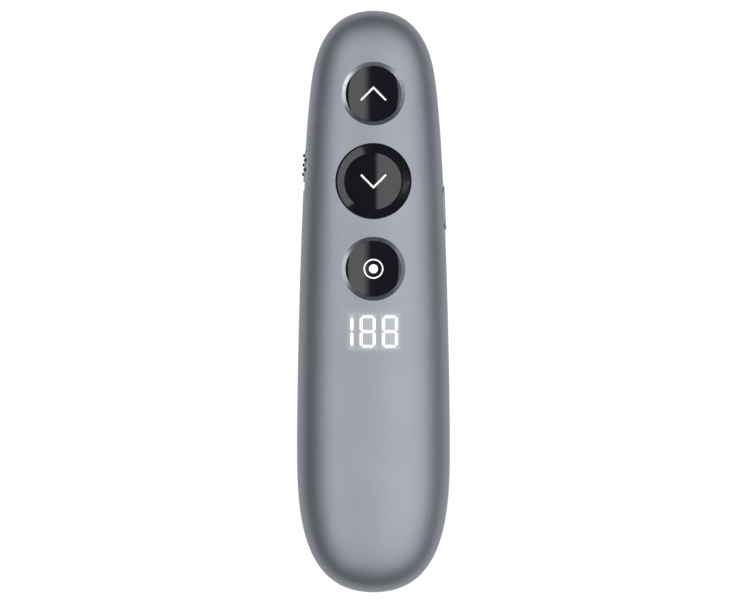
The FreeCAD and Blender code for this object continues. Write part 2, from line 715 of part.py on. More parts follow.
def make_power_switch():
    tip = lever_tip()
    lever = side_box(slider_frame, (tip - d.lever_length, tip),
                     (-d.lever_width / 2, d.lever_width / 2), (0, d.lever_height))
    shift = d.slider_travel / 2
    floor = board_top - d.seam_height
    housing = side_box(slider_frame, (-d.toggle_inset - d.toggle_width, -d.toggle_inset),
                       (shift - d.toggle_length / 2, shift + d.toggle_length / 2),
                       (floor, floor + d.toggle_height))
    gap = d.plunger_gap
    slot = side_box(slider_frame, (tip - d.lever_length - gap, 0),
                    (-d.lever_width / 2 - gap, d.lever_width / 2 + d.slider_travel + gap),
                    (-gap, d.lever_height + gap))
    return [keep("power_lever", lever), keep("power_switch", single(housing.cut(slot)))]


# Push key on the right flank

def make_side_key():
    bar = side_stadium(key_frame, d.key_length, d.key_height, (-d.key_back, SPARE), d.key_lift)
    head = follow(bar, -d.key_proud)
    rim = 2 * d.key_flange
    flange = side_stadium(key_frame, d.key_length + rim, d.key_height + rim,
                          (-d.key_back, SPARE), d.key_lift)
    flange = follow(flange, d.wall + d.flange_gap)
    tip = -d.edge_switch_inset + d.edge_plunger_rise + d.rest_gap
    lift = board_top + d.edge_switch_height / 2 - d.seam_height
    root = d.key_flange / 2 - d.key_back
    stem = Part.makeCylinder(d.edge_plunger_radius, root - tip, V(tip, 0, lift), V(1, 0, 0))
    stem.Placement = key_frame
    return [keep("side_key", single(head.fuse([flange, stem]).removeSplitter()))]


def make_side_switch():
    floor = board_top - d.seam_height
    face = -d.edge_switch_inset
    housing = side_box(key_frame, (face - d.edge_switch_depth, face),
                       (-d.edge_switch_length / 2, d.edge_switch_length / 2),
                       (floor, floor + d.edge_switch_height))
    lift = floor + d.edge_switch_height / 2
    root = face - d.edge_plunger_depth
    well_depth = d.edge_plunger_depth + d.key_travel + d.plunger_gap
    well = Part.makeCylinder(d.edge_plunger_radius + d.plunger_gap, well_depth,
                             V(face - well_depth, 0, lift), V(1, 0, 0))
    plunger = Part.makeCylinder(d.edge_plunger_radius, d.edge_plunger_depth + d.edge_plunger_rise,
                                V(root, 0, lift), V(1, 0, 0))
    well.Placement = key_frame
    plunger.Placement = key_frame
    return [keep("side_switch", single(housing.cut(well))), keep("side_plunger", plunger)]


# Display

def make_display():
    slab = upper_form(d.wall + d.flange_gap).cut(under(d.guide_base))
    column = Part.makeBox(d.guide_length, d.guide_width, REACH,
                          V(-d.guide_length / 2, d.display_y - d.guide_width / 2, 0))
    plate = slab.common(column)
    bars = Part.makeCompound(segments(d.guide_gap, d.guide_base + d.guide_root, REACH))
    bars = bars.common(upper_form(d.guide_gap))
    guide = plate.fuse(bars.Solids).removeSplitter()
    block = padded_block("display_module", "Sizes.guide_length", "Sizes.guide_width",
                         f"Sizes.guide_base - {BOARD_TOP} - Sizes.rest_gap",
                         "Sizes.module_corner", ("0", "Sizes.display_y", BOARD_TOP))
    return [keep("display_light_guide", single(guide)), block]


# Circuit board and what it carries

def make_board():
    board = outline_prism(d.wall + d.board_margin, d.board_bottom, board_top)
    front = Part.makeBox(REACH, REACH, REACH, V(-REACH / 2, d.board_front, -REACH / 2))
    holes = [upright(d.shank_radius + d.shank_gap, x, y, 0, REACH) for x, y in screw_places]
    room = d.key_length / 2 + d.key_flange + d.notch_gap
    notch = side_box(key_frame, (-d.key_back - d.key_travel - d.notch_gap, d.key_back),
                     (-room, room), (-d.seam_height, d.seam_height))
    return [keep("main_board", single(board.cut([front, notch] + holes)))]


def make_board_parts():
    across, along = "Sizes.shield_width", "Sizes.shield_length"
    can = box("shield_can", across, along, "Sizes.shield_height",
              (f"-{across} / 2", f"Sizes.shield_y - {along} / 2", BOARD_TOP))
    sheet_metal = "Sizes.shield_sheet"
    hollow = box("shield_hollow", f"{across} - 2 * {sheet_metal}", f"{along} - 2 * {sheet_metal}",
                 "Sizes.shield_height",
                 (f"{sheet_metal} - {across} / 2", f"Sizes.shield_y - {along} / 2 + {sheet_metal}",
                  f"{BOARD_TOP} - {sheet_metal}"))
    chip = box("charge_controller", "Sizes.chip_side", "Sizes.chip_side", "Sizes.chip_height",
               ("-Sizes.chip_side / 2", "Sizes.chip_y - Sizes.chip_side / 2", BOARD_TOP))
    return [cut("radio_shield", can, hollow), chip]


def make_battery():
    cell = padded_block("battery_cell", "Sizes.cell_width", "Sizes.cell_length",
                        "Sizes.cell_thickness", "Sizes.cell_corner",
                        ("0", "Sizes.cell_y", "Sizes.wall + Sizes.foam_thickness"))
    width = "(Sizes.cell_width - 2 * Sizes.foam_margin)"
    length = "(Sizes.cell_length - 2 * Sizes.foam_margin)"
    foam = box("battery_foam", width, length, "Sizes.foam_thickness",
               (f"-{width} / 2", f"Sizes.cell_y - {length} / 2", "Sizes.wall"))
    return [cell, foam]


def make_port():
    """Charging socket: a rolled sheet sleeve, its back wall and its contact tongue."""
    mouth, back = -d.port_recess, -d.port_recess - d.port_depth
    outside = side_stadium(port_frame, d.port_width, d.port_height, (back, mouth), 0)
    inside = side_stadium(port_frame, d.port_width - 2 * d.port_sheet,
                          d.port_height - 2 * d.port_sheet, (back + d.port_back, mouth + SPARE), 0)
    tongue = side_box(port_frame, (back + d.port_back / 2, mouth - d.port_tongue_back),
                      (-d.port_tongue_width / 2, d.port_tongue_width / 2),
                      (-d.port_tongue_height / 2, d.port_tongue_height / 2))
    return [keep("charging_socket", single(outside.cut(inside).fuse(tongue).removeSplitter()))]


# Laser

def make_laser():
    axis_z = "Sizes.seam_height - Sizes.laser_drop"
    back = "Sizes.laser_front - Sizes.laser_length"
    barrel = cylinder("laser_tube", "Sizes.laser_radius", "Sizes.laser_length",
                      ("0", back, axis_z), along_y=True)
    bore = cylinder("laser_bore", "Sizes.beam_radius", "Sizes.laser_length",
                    ("0", f"{back} + Sizes.laser_length / 2", axis_z), along_y=True)
    nose = tip_y(laser_z, 1)
    window = Part.makeCylinder(d.lens_radius, REACH, V(0, nose - d.lens_thickness, laser_z),
                               V(0, 1, 0))
    window = window.common(lower_form(d.lens_recess))
    return [cut("laser_module", barrel, bore), keep("laser_window", single(window))]


# Screws

def make_screws():
    nodes = []
    places = [("front_left_screw", "-Sizes.front_screw_x", "Sizes.front_screw_y"),
              ("front_right_screw", "Sizes.front_screw_x", "Sizes.front_screw_y"),
              ("rear_screw", "0", "Sizes.rear_screw_y")]
    for label, x, y in places:
        head = cylinder(f"{label}_head", "Sizes.head_radius", "Sizes.head_height",
                        (x, y, "Sizes.screw_seat - Sizes.head_height"))
        shank = cylinder(f"{label}_shank", "Sizes.shank_radius",
                         "Sizes.shank_length + Sizes.head_height",
                         (x, y, "Sizes.screw_seat - Sizes.head_height"))
        solid = fuse(f"{label}_blank", head, shank)
        socket = doc.addObject("Part::Prism", f"{label}_socket")
        bind(socket, f"{label}_socket",
             {"Circumradius": "Sizes.socket_radius", "Height": "2 * Sizes.socket_depth"},
             (x, y, "Sizes.screw_seat - Sizes.head_height - Sizes.socket_depth"))
        nodes.append(cut(label, solid, socket))
    return nodes


MAKERS = [make_upper_shell, make_lower_shell, make_caps, make_press_switches,
          make_power_slider, make_power_switch, make_side_key, make_side_switch,
          make_display, make_board, make_board_parts, make_battery, make_port,
          make_laser, make_screws]


def main():
    nodes = []
    for make in MAKERS:
        nodes += make()
    doc.recompute()
    for thing in doc.Objects:
        if "Invalid" in thing.State or "Error" in thing.State:
            raise RuntimeError(f"{thing.Label} failed: {thing.State}")
    for node in nodes:
        if node.Shape.isNull() or not node.Shape.isValid() or len(node.Shape.Solids) != 1:
            raise RuntimeError(f"{node.Label} has no sound solid")
    os.makedirs("parts", exist_ok=True)
    for node in nodes:
        node.Shape.exportStep(f"parts/{node.Label}.step")
        print(f"{node.Label}: {node.Shape.Volume:.1f} mm3")


main()
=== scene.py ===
import json
import math

import bmesh
import bpy
import numpy as np
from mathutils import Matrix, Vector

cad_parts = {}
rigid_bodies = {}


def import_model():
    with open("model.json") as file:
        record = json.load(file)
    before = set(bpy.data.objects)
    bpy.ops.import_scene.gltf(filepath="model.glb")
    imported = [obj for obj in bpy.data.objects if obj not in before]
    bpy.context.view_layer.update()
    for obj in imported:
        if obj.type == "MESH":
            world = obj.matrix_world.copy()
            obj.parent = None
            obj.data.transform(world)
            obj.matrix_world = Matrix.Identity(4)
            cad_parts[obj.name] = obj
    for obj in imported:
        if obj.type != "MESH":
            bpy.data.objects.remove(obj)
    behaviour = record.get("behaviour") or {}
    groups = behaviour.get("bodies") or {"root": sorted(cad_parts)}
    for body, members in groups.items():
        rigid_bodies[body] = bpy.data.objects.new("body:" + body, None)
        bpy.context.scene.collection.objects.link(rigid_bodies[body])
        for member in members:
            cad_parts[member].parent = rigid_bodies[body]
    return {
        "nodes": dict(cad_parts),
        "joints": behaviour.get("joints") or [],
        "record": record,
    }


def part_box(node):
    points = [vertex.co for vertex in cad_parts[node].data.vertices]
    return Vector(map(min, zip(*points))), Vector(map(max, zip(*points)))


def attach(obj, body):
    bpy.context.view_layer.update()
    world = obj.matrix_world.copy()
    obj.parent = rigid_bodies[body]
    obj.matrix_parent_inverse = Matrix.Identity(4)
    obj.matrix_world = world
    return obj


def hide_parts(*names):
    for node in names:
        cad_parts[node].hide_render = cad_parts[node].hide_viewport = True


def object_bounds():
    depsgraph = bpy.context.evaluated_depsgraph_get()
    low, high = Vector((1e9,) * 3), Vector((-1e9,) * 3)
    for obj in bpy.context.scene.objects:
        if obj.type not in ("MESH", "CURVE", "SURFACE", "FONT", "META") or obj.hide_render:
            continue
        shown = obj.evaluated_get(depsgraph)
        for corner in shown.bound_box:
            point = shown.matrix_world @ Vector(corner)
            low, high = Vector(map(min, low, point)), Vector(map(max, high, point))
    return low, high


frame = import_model()
CAD_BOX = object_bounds()

bl_info = {
    "name": "Presentation clicker",
    "version": (1, 0, 0),
    "blender": (4, 5, 0),
    "location": "View3D > Sidebar > Clicker",
    "description": "Dresses the clicker's frame with finished surfaces, printed signs and a stage",
    "category": "Object",
}

MM = 0.001

# Where the photograph shows the object, in its own pixels
PHOTO_WIDTH = 750
PHOTO_HEIGHT = 600
PHOTO_LENGTH = 581.6
PHOTO_CENTRE = (373.47, 301.5)

# Places taken from the frame, metres
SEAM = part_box("upper_shell")[0].z
LENGTH = CAD_BOX[1][1] - CAD_BOX[0][1]
PIXEL = LENGTH / PHOTO_LENGTH

# Buttons, from nose to tail
BUTTONS = ("previous", "next", "pointer")

# Hole of a small cap, the bevel round it, the slack inside and outside it within which a face's
# middle still counts as the bevel's, and how far its normal stands up
HOLE_RADIUS = 6.5 * MM
BEVEL_WIDTH = 0.92 * MM
BEVEL_SLACK = (0.02 * MM, 0.05 * MM)
BEVEL_UPRIGHT = (0.4, 0.93)

# Outer radius of the large cap's sloping ring, radius of that cap, least upright of its rim
RING_RADIUS = 8.47 * MM
CAP_RADIUS = 8.8 * MM
RIM_UPRIGHT = 0.6

# Points nearer than this are one point, and edges sharper than these degrees stay sharp
MERGE_DISTANCE = 0.0005 * MM
CREASE = 28
CAP_CREASE = 12

# Printed signs: height over the cap from which they are dropped, points across a line and along
# an arm, the point next to the apex as a share of the arm, points round a ring, the dot's hole as
# a share of its radius, too small to see, and the strength of a glow painted into the ink
DROP_HEIGHT = 1 * MM
LINE_POINTS = 5
ARM_POINTS = 12
ARM_START = 0.2
RING_POINTS = 72
DOT_HOLE = 0.02
PAINTED_INK_GLOW = 0.12

# Digits of the display, as the frame's light guide carries them. DIGIT_SIDE and DIGIT_RISE lead
# from a digit's middle to the middle lines of its upright and its level segments.
DIGIT_HALF_HEIGHT = 3.85 * MM
DIGIT_HALF_WIDTH = 1.9 * MM
DIGIT_PITCH = 5.17 * MM
DIGIT_SIDE = 1.5 * MM
DIGIT_RISE = 3.45 * MM
LAST_DIGIT = 3.83 * MM
# Middle and half breadth of each digit, the last first. The leading one is a bare stroke.
DIGITS = [(LAST_DIGIT, DIGIT_HALF_WIDTH), (LAST_DIGIT - DIGIT_PITCH, DIGIT_HALF_WIDTH),
          (-5.01 * MM, 0.4 * MM)]

# Lit segments: half breadth of the bright core, where its light has fallen off, what is left
# there, the light's strength, the strength of the glow painted into the lacquer round them, and
# the diffuser's cloud with its least share of the light
CORE_EDGE = 0.08 * MM
CORE_REACH = 0.42 * MM
CORE_REST = 0.3
SEGMENT_STRENGTH = 0.9
HALO_STRENGTH = 0.14
CLOUD_BREADTH = 1.6 * MM
CLOUD_REST = 0.85

# Grip pips on the slide switch, in the knob's own frame: rows as (place upwards, count)
PIP_RADIUS = 0.42 * MM
PIP_EDGE = (0.03 * MM, 0.06 * MM)
PIP_PITCH = 2.2 * MM
PIP_ROW = 1.55 * MM
PIP_OFFSET = -0.3 * MM
PIP_ROWS = ((-2, 3), (-1, 2), (0, 3), (1, 2))
KNOB_PROUD = 0.12 * MM
KNOB_SEAT = (-16.109 * MM, 31.6 * MM)
# Height of the casing's elliptical section over and under the seam, as shares of its half width
RISE_ABOVE = 0.5
RISE_BELOW = 0.5587

# Roughness, metallic share and relief of the satin lacquer; the moulded skin takes the first two
SATIN = 0.43
SHEEN = 0.85
FLAKE_BUMP = 0.12

# Every grained finish: the grain's own detail and the cloud's, the cloud's frequency as a share of
# the grain's, the sum of both noises that gives the deep and the light tone, and the grains that
# go into a relief's depth
GRAIN_DETAIL = 3.0
CLOUD_DETAIL = 2.0
CLOUD_SHARE = 0.02
TONE_SPAN = (0.6, 1.4)
GRAINS_PER_DEPTH = 8

# Softboxes over the object: name, span across and along as tangents of the angle from upright,
# height in metres, share of the main radiance
SOFTBOXES = [
    ("main_softbox", (0.02, 1.5), (-1.05, 1.05), 1.0, 0.92),
    ("gap_fill", (-0.56, 0.05), (-1.05, 1.05), 1.0, 0.68),
    ("left_softbox", (-1.0, -0.56), (-1.05, 1.05), 1.0, 1.3),
    ("low_strip", (2.75, 4.6), (-1.2, 1.2), 0.4, 0.17),
]
# Half a softbox's breadth, and how much of it has full light, as shares of the whole
SOFTBOX_EDGE = 0.5
SOFTBOX_FULL = 0.44

# Tint of the surround, as of a room with daylight
SURROUND_TINT = "#dde5f2"

# White sheet under the object: half its side in metres, its level, its glow and the glow's share
SHEET_REACH = 3.0
SHEET_LEVEL = -0.05 * MM
SHEET_GLOW = 1.06
SHEET_SHARE = 0.92

SENSOR_MM = 36

# Inner finishes: name, light tone, deep tone, grain in mm, roughness, metallic
INNER_FINISHES = {
    # smooth dull black block
    "display_resin": ("cast_black_epoxy", "#1b1b1e", "#141416", 0.8, 0.5, 0.0),
    # green film with a soft shine, a little uneven over its glass weave
    "board_laminate": ("solder_mask_laminate", "#15573a", "#0f4a30", 1.4, 0.35, 0.0),
    # near black with a waxy half shine
    "switch_plastic": ("moulded_nylon", "#1c1c1f", "#151517", 0.4, 0.5, 0.0),
    # milky off-white, smooth and slightly greasy
    "plunger_plastic": ("moulded_acetal", "#d9d7cf", "#cdcbc3", 0.5, 0.4, 0.0),
    # bright grey metal with blurred reflections
    "shield_sheet": ("tinned_sheet", "#b9bbbd", "#a9abad", 1.0, 0.3, 1.0),
    # dead matt black
    "chip_resin": ("moulded_epoxy", "#17171a", "#111113", 0.3, 0.6, 0.0),
    # silvery, softly wrinkled
    "cell_pouch": ("laminated_foil_pouch", "#b5b8bd", "#a7aab0", 2.5, 0.32, 1.0),
    # dark, without any shine
    "cell_foam": ("closed_cell_foam", "#26262a", "#19191c", 0.5, 0.9, 0.0),
    # bright rolled steel
    "socket_sheet": ("rolled_steel_sleeve", "#c3c4c6", "#b2b3b5", 1.2, 0.25, 1.0),
    # warm yellow metal with turning marks
    "laser_brass": ("turned_brass", "#c9a35a", "#b8924c", 0.6, 0.3, 1.0),
    # black metal with an oily shine
    "screw_steel": ("black_oxide_steel", "#2b2b2d", "#1f1f21", 0.4, 0.45, 1.0),
}


def middle_of(node):
    """Middle of a node in plan: half the sum of its box's corners."""
    low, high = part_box(node)
    return (low.x + high.x) / 2, (low.y + high.y) / 2


def slot_of(node):
    """Material slot that the record gives to a node."""
    entries = frame["record"]["subparts"]
    return [entry["material_slot"] for entry in entries if entry["node"] == node][0]


def body_of(node):
    """Body in which the record lists a node."""
    bodies = frame["record"]["behaviour"]["bodies"]
    return [body for body, members in bodies.items() if node in members][0]


# Colours and properties

def linear(code):
    """sRGB hex to linear light: c / 12.92 below the knee, ((c + 0.055) / 1.055) to the power of
    2.4 above it."""
    parts = [int(code[i:i + 2], 16) / 255 for i in (1, 3, 5)]
    return tuple(c / 12.92 if c <= 0.04045 else ((c + 0.055) / 1.055) ** 2.4 for c in parts)


def opaque(code):
    """The linear colour with full alpha."""
    return (*linear(code), 1.0)


def colour_choice(name, description, code):
    """A colour that the user can change."""
    return bpy.props.FloatVectorProperty(name=name, description=description, subtype="COLOR",
                                         size=3, min=0, max=1, default=linear(code))


def length_choice(name, description, millimetres):
    """A length that the user can change."""
    return bpy.props.FloatProperty(name=name, description=description, unit="LENGTH",
                                   min=0, precision=6, default=millimetres * MM)


class ClickerFinish(bpy.types.PropertyGroup):
    """Colours and grain of the finishes."""
    lacquer: colour_choice("Lacquer", "Satin metallic lacquer of the casing", "#888b93")
    lacquer_deep: colour_choice("Lacquer, deep", "Lacquer between its flakes", "#7f8188")
    cap: colour_choice("Caps", "Polished black of the caps", "#1a1b21")
    ink: colour_choice("Ink", "Printed signs", "#f4f4f4")
    glow: colour_choice("Glow", "Lit digits", "#ffffff")
    # A real flake is about 0.03 mm and would vanish in the render, so it is drawn coarser
    grain: length_choice("Grain", "Breadth of a lacquer grain", 0.34)
    # The halo is a glow painted into the lacquer round the digits, though the lacquer is no lamp
    halo: length_choice("Halo", "Reach of the digits' light in the lacquer", 0.45)


class ClickerSigns(bpy.types.PropertyGroup):
    """Sizes of the printed signs."""
    chevron_half: length_choice("Chevron half", "Half the breadth of a chevron", 2.9)
    chevron_rise: length_choice("Chevron rise", "Height of a chevron's middle line", 2.95)
    stroke: length_choice("Stroke", "Breadth of a chevron's line", 0.42)
    dot: length_choice("Dot", "Radius of the pointer sign's dot", 1.05)
    ring: length_choice("Ring", "Outer radius of the pointer sign's ring", 2.3)
    ring_stroke: length_choice("Ring stroke", "Breadth of the ring's line", 0.32)
    lift: length_choice("Lift", "Ink above the cap", 0.012)
    ink_depth: length_choice("Ink depth", "Thickness of the ink", 0.03)


class ClickerStage(bpy.types.PropertyGroup):
    """Camera distance and lamps."""
    distance: length_choice("Camera distance", "Camera above the seam", 1100)
    softbox: bpy.props.FloatProperty(name="Softbox", description="Radiance of the large softbox",
                                     min=0, default=2.35)
    surround: bpy.props.FloatProperty(name="Surround", description="Radiance of the plain surround",
                                      min=0, default=0.06)


# Node trees

def add(tree, kind, inputs=None, **settings):
    """One node with its settings, its socket values and its links."""
    made = tree.nodes.new(kind)
    for name, value in settings.items():
        setattr(made, name, value)
    for name, value in (inputs or {}).items():
        if isinstance(value, bpy.types.NodeSocket):
            tree.links.new(value, made.inputs[name])
        else:
            made.inputs[name].default_value = value
    return made


def cleared(owner):
    """Node tree of a material, lamp or world, emptied."""
    owner.use_nodes = True
    owner.node_tree.nodes.clear()
    return owner.node_tree


def grained(name, light, deep, grain, roughness, metallic=0.0, bump=0.1, spread=0.06):
    """A moulded or sprayed finish: two close tones mixed by the sum of a fine noise of one grain
    size and a cloud fifty grains wide, gloss that the fine noise moves by spread either way, and
    a relief an eighth of a grain deep."""
    material = bpy.data.materials.new(name)
    tree = cleared(material)
    place = add(tree, "ShaderNodeTexCoord").outputs["Object"]
    noise = add(tree, "ShaderNodeTexNoise", {"Vector": place, "Scale": 1 / grain,
                                             "Detail": GRAIN_DETAIL})
    cloud = add(tree, "ShaderNodeTexNoise", {"Vector": place, "Scale": CLOUD_SHARE / grain,
                                             "Detail": CLOUD_DETAIL})
    mixed = add(tree, "ShaderNodeMath", {0: noise.outputs["Fac"], 1: cloud.outputs["Fac"]},
                operation="ADD")
    ramp = add(tree, "ShaderNodeMapRange", {"Value": mixed.outputs[0],
                                            "From Min": TONE_SPAN[0],
                                            "From Max": TONE_SPAN[1]})
    tone = add(tree, "ShaderNodeMix", {"Factor": ramp.outputs[0], 6: (*deep, 1.0),
                                       7: (*light, 1.0)}, data_type="RGBA")
    gloss = add(tree, "ShaderNodeMapRange", {"Value": noise.outputs["Fac"],
                                             "To Min": roughness - spread,
                                             "To Max": roughness + spread})
    relief = add(tree, "ShaderNodeBump", {"Height": noise.outputs["Fac"], "Strength": bump,
                                          "Distance": grain / GRAINS_PER_DEPTH})
    shader = add(tree, "ShaderNodeBsdfPrincipled",
                 {"Base Color": tone.outputs[2], "Roughness": gloss.outputs[0],
                  "Normal": relief.outputs[0], "Metallic": metallic})
    add(tree, "ShaderNodeOutputMaterial", {"Surface": shader.outputs[0]})
    return material, tree, shader, place


# Finishes

def lacquered(name, look):
    """Satin metallic lacquer: flakes give a soft sheen that falls off at the flanks."""
    return grained(name, look.lacquer, look.lacquer_deep, look.grain, SATIN, metallic=SHEEN,
                   bump=FLAKE_BUMP)


def lacquer(look):
    """Satin metallic lacquer sprayed on ABS, with a glow painted into the coat round the digits,
    though the coat is no lamp: the sum over the digits of e to the power of -distance / halo."""
    material, tree, shader, place = lacquered("satin_lacquer", look)
    middle = middle_of("display_module")[1]
    total = None
    for centre_x, half_x in DIGITS:
        offset = add(tree, "ShaderNodeVectorMath", {0: place, 1: (centre_x, middle, SEAM)},
                     operation="SUBTRACT")
        size = add(tree, "ShaderNodeVectorMath", {0: offset.outputs[0]}, operation="ABSOLUTE")
        # A metre of half height leaves the distance upwards out
        outside = add(tree, "ShaderNodeVectorMath",
                      {0: size.outputs[0], 1: (half_x, DIGIT_HALF_HEIGHT, 1.0)},
                      operation="SUBTRACT")
        clipped = add(tree, "ShaderNodeVectorMath", {0: outside.outputs[0]}, operation="MAXIMUM")
        away = add(tree, "ShaderNodeVectorMath", {0: clipped.outputs[0]}, operation="LENGTH")
        scaled = add(tree, "ShaderNodeMath", {0: away.outputs["Value"], 1: -1 / look.halo},
                     operation="MULTIPLY")
        faded = add(tree, "ShaderNodeMath", {0: scaled.outputs[0]}, operation="EXPONENT")
        if total is not None:
            faded = add(tree, "ShaderNodeMath", {0: faded.outputs[0], 1: total}, operation="ADD")
        total = faded.outputs[0]
    # Painted glow: the lacquer emits light round the digits, though it is no lamp
    painted_glow = add(tree, "ShaderNodeVectorMath", {0: (*look.glow,), "Scale": total}, operation="SCALE")
    tree.links.new(painted_glow.outputs[0], shader.inputs["Emission Color"])
    shader.inputs["Emission Strength"].default_value = HALO_STRENGTH
    return material


def bevel_with_painted_highlight():
    """Bevel round a small cap: a lighter, fully metallic copy of the lacquer, whose lighter tone
    paints part of the bevel's highlight over its true reflections, with fine turning marks.
    """
    return grained("bevel_with_painted_highlight", linear("#c6c9ce"), linear("#babdc2"), 0.15 * MM, 0.29,
                   metallic=1.0, bump=0.05)[0]


def moulded_abs(look):
    """Moulded ABS of the lower half, eroded mould: the lacquer's tone and sheen a shade darker."""
    return grained("moulded_satin_abs", linear("#83858c"), linear("#797b82"), look.grain, SATIN,
                   metallic=SHEEN)[0]


def satin_key(look):
    """Lacquered push key: the casing's tone, a touch duller from handling."""
    return grained("satin_key", look.lacquer, look.lacquer_deep, look.grain, 0.45,
                   metallic=SHEEN)[0]


def gloss_black(look):
    """Polished black ABS: a mirror-like skin in which the softbox shows as a pale half."""
    return grained("polished_black_abs", look.cap, linear("#141519"), 2.4 * MM, 0.07, bump=0.015,
                   spread=0.02)[0]


def painted_gap_shade():
    """Dull black on the large cap's outer rim: painted shade that stands in for the shadow gap
    round the cap, and swallows the lamps.
    """
    material, _, shader, _ = grained("painted_gap_shade_edge", linear("#0c0c0e"), linear("#08080a"),
                                     0.2 * MM, 0.75)
    shader.inputs["Specular IOR Level"].default_value = 0.15
    return material


def printed_ink(look):
    """Pad-printed white ink: matt, a little uneven where the pad lifted."""
    material, _, shader, _ = grained("printed_ink", look.ink, linear("#e6e6e8"), 0.3 * MM, 0.5,
                                     bump=0.05)
    # Painted light: a faint white glow makes the ink brighter, though it is no lamp
    shader.inputs["Emission Color"].default_value = opaque("#ffffff")
    shader.inputs["Emission Strength"].default_value = PAINTED_INK_GLOW
    return material


def lit_guide(look):
    """Milky acrylic light guide lit from below: each segment is brightest along its middle line and
    falls off to its edges, with a faint cloud from the diffuser. The distance to the nearest middle
    line is the least of | |x| - side |, | |y| - rise | and |y|, x and y from the digit's middle."""
    material, tree, shader, place = grained("lit_milky_acrylic", linear("#c9cbd2"),
                                            linear("#bdbfc6"), 0.5 * MM, 0.4, bump=0.04)
    split = add(tree, "ShaderNodeSeparateXYZ", {0: place})
    from_last = add(tree, "ShaderNodeMath", {0: split.outputs[0], 1: LAST_DIGIT},
                    operation="SUBTRACT").outputs[0]
    x = add(tree, "ShaderNodeMath", {0: from_last, 1: DIGIT_PITCH / 2, 2: -DIGIT_PITCH / 2},
            operation="WRAP").outputs[0]
    y = add(tree, "ShaderNodeMath", {0: split.outputs[1], 1: middle_of("display_module")[1]},
            operation="SUBTRACT").outputs[0]
    nearest = add(tree, "ShaderNodeMath", {0: y}, operation="ABSOLUTE").outputs[0]
    for value, offset in ((x, DIGIT_SIDE), (y, DIGIT_RISE)):
        size = add(tree, "ShaderNodeMath", {0: value}, operation="ABSOLUTE").outputs[0]
        past = add(tree, "ShaderNodeMath", {0: size, 1: offset}, operation="SUBTRACT").outputs[0]
        away = add(tree, "ShaderNodeMath", {0: past}, operation="ABSOLUTE").outputs[0]
        nearest = add(tree, "ShaderNodeMath", {0: nearest, 1: away},
                      operation="MINIMUM").outputs[0]
    fall = add(tree, "ShaderNodeMapRange", {"Value": nearest, "From Min": CORE_EDGE,
                                            "From Max": CORE_REACH, "To Min": 1.0,
                                            "To Max": CORE_REST},
               interpolation_type="SMOOTHSTEP")
    cloud = add(tree, "ShaderNodeTexNoise", {"Vector": place, "Scale": 1 / CLOUD_BREADTH})
    uneven = add(tree, "ShaderNodeMapRange", {"Value": cloud.outputs["Fac"],
                                              "To Min": CLOUD_REST, "To Max": 1.0})
    level = add(tree, "ShaderNodeMath", {0: fall.outputs[0], 1: uneven.outputs[0]},
                operation="MULTIPLY")
    light = add(tree, "ShaderNodeVectorMath", {0: (*look.glow,), "Scale": level.outputs[0]},
                operation="SCALE")
    tree.links.new(light.outputs[0], shader.inputs["Emission Color"])
    shader.inputs["Emission Strength"].default_value = SEGMENT_STRENGTH
    return material


def pip_centres():
    """Middles of the pips: rows a pitch apart along the flank, each row lifted by lift and moved
    inwards by half * (1 - sqrt(1 - (lift / rise)^2)), as the elliptical section falls."""
    joint = [j for j in frame["joints"] if j["name"] == "power_slide"][0]
    along = np.array(joint["axis"])
    out = np.array([along[1], -along[0], 0.0])
    half = abs(KNOB_SEAT[0])
    centres = []
    for row, count in PIP_ROWS:
        lift = row * PIP_ROW
        rise = (RISE_ABOVE if lift > 0 else RISE_BELOW) * half
        fall = half * (1 - math.sqrt(1 - (lift / rise) ** 2))
        for index in range(count):
            step = PIP_OFFSET + (index - (count - 1) / 2) * PIP_PITCH
            place = np.array([*KNOB_SEAT, SEAM + lift]) + out * (KNOB_PROUD - fall) + along * step
            centres.append(tuple(float(value) for value in place))
    return centres


def slider_skin(look):
    """Two-shot knob: lacquered pad with soft black grip pips moulded through it. A point is a
    pip's where its distance to the nearest pip's middle is under the pip's radius."""
    material, tree, shader, place = lacquered("two_shot_knob", look)
    nearest = None
    for centre in pip_centres():
        away = add(tree, "ShaderNodeVectorMath", {0: place, 1: centre},
                   operation="DISTANCE").outputs["Value"]
        nearest = away if nearest is None else add(
            tree, "ShaderNodeMath", {0: away, 1: nearest}, operation="MINIMUM").outputs[0]
    mask = add(tree, "ShaderNodeMapRange", {"Value": nearest,
                                            "From Min": PIP_RADIUS + PIP_EDGE[0],
                                            "From Max": PIP_RADIUS + PIP_EDGE[1]})
    tone = shader.inputs["Base Color"].links[0].from_socket
    mixed = add(tree, "ShaderNodeMix", {"Factor": mask.outputs[0], 6: opaque("#101013"), 7: tone},
                data_type="RGBA")
    tree.links.new(mixed.outputs[2], shader.inputs["Base Color"])
    metal = add(tree, "ShaderNodeMath", {0: mask.outputs[0], 1: SHEEN}, operation="MULTIPLY")
    tree.links.new(metal.outputs[0], shader.inputs["Metallic"])
    return material


def window_glass():
    """Tinted polycarbonate window: clear, deep red, polished."""
    material, _, shader, _ = grained("tinted_window", linear("#3a0d10"), linear("#2a080b"),
                                     1.5 * MM, 0.06, bump=0.01, spread=0.02)
    shader.inputs["Transmission Weight"].default_value = 0.6
    return material


# Pieces

def placed(name, data):
    """A new object at the origin, in the scene."""
    thing = bpy.data.objects.new(name, data)
    bpy.context.scene.collection.objects.link(thing)
    return thing


